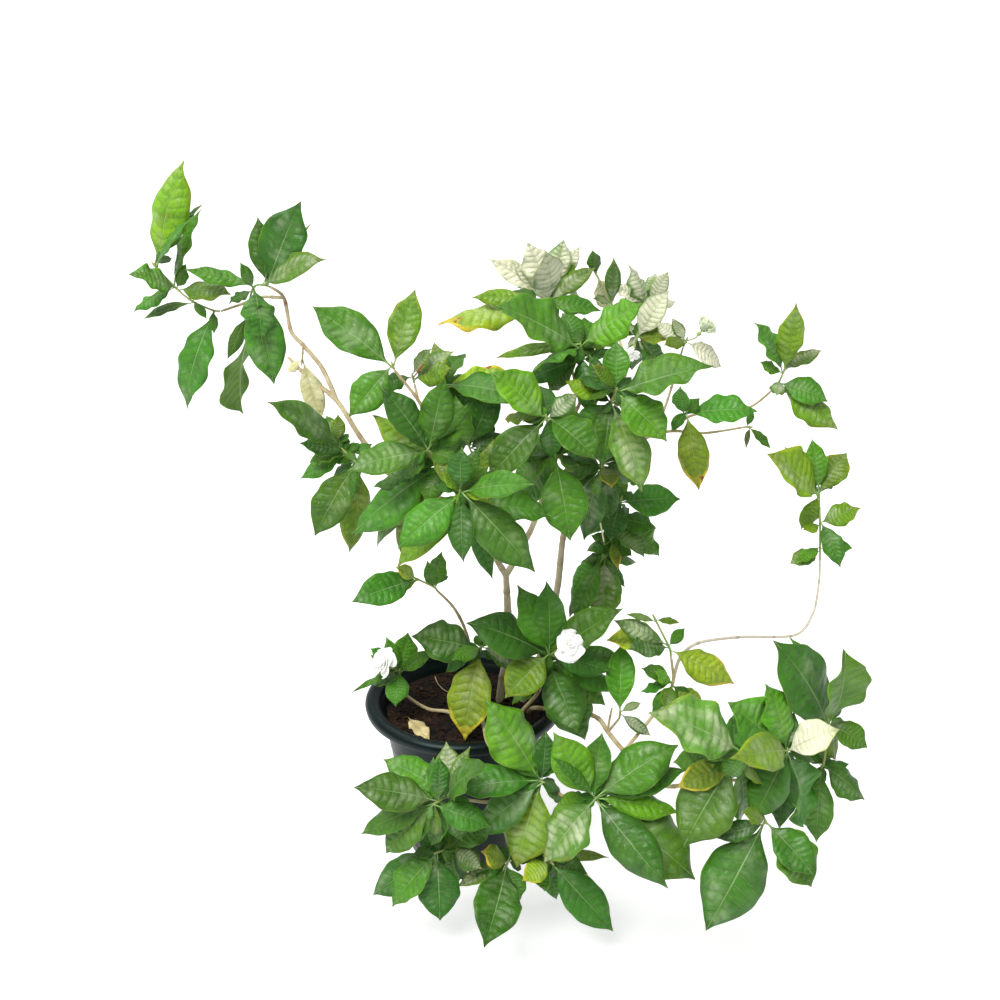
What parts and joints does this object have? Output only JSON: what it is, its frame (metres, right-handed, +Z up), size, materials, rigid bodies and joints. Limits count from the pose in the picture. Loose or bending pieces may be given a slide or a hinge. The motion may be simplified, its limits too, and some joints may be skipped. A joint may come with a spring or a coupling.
{
  "type": "potted flowering shrub",
  "caption": "A crape jasmine shrub with glossy pointed leaves in whorls and small double white flowers, on slender woody stems that spread and trail from a round dark plastic pot.",
  "frame": {"origin": "The middle of the pot's flat foot, on the floor.", "axes": "+Z is up. +X runs to the right as the picture's viewer sees the plant, and +Y away from that viewer."},
  "size_m": [1.1087, 0.8126, 1.0102],
  "materials": {
    "pot": "satin",
    "soil": "matte",
    "bark": "matte",
    "leaf": "satin",
    "withered": "matte",
    "dry": "matte",
    "petal": "matte",
    "bud": "matte"
  },
  "bodies": {
    "root": {"pot": "pot", "soil": "soil", "stem_tall": "bark", "stem_right": "bark", "stem_low_left": "bark", "stem_front": "bark", "stem_small": "bark", "stem_over_front": "bark", "stem_over_right": "bark", "dry_leaf": "dry", "rootlet": "dry", "withered_leaf": "withered", "bloom_front": "petal", "bloom_side": "petal", "bloom_small": "petal", "bud_opening": "petal", "bud_slender": "bud", "far_left": "leaf", "left_whorl": "leaf", "left_mid": "leaf", "upper_left": "leaf", "upper_left_low": "leaf", "upper_mid": "leaf", "left_rosette": "leaf", "centre_back": "leaf", "front_rosette": "leaf", "centre": "leaf", "upper": "leaf", "top_left": "leaf", "top_back": "leaf", "crown": "leaf", "right_under": "leaf", "top_right": "leaf", "top_back_right": "leaf", "right_whorl": "leaf", "right_twigs": "leaf", "far_right": "leaf", "bud_spray": "leaf", "right_mid": "leaf", "right_low_mid": "leaf", "low_left_twig": "leaf", "pot_top": "leaf", "pot_left": "leaf", "pot_spray": "leaf", "side_twig": "leaf", "side_low": "leaf", "side_leaf": "leaf", "right_edge": "leaf", "low_centre_a": "leaf", "low_centre_b": "leaf", "low_centre_c": "leaf", "low_left_a": "leaf", "low_left_b": "leaf", "low_left_c": "leaf", "low_right_a": "leaf", "low_right_b": "leaf", "low_right_c": "leaf", "right_low": "leaf"}
  },
  "joints": []
}
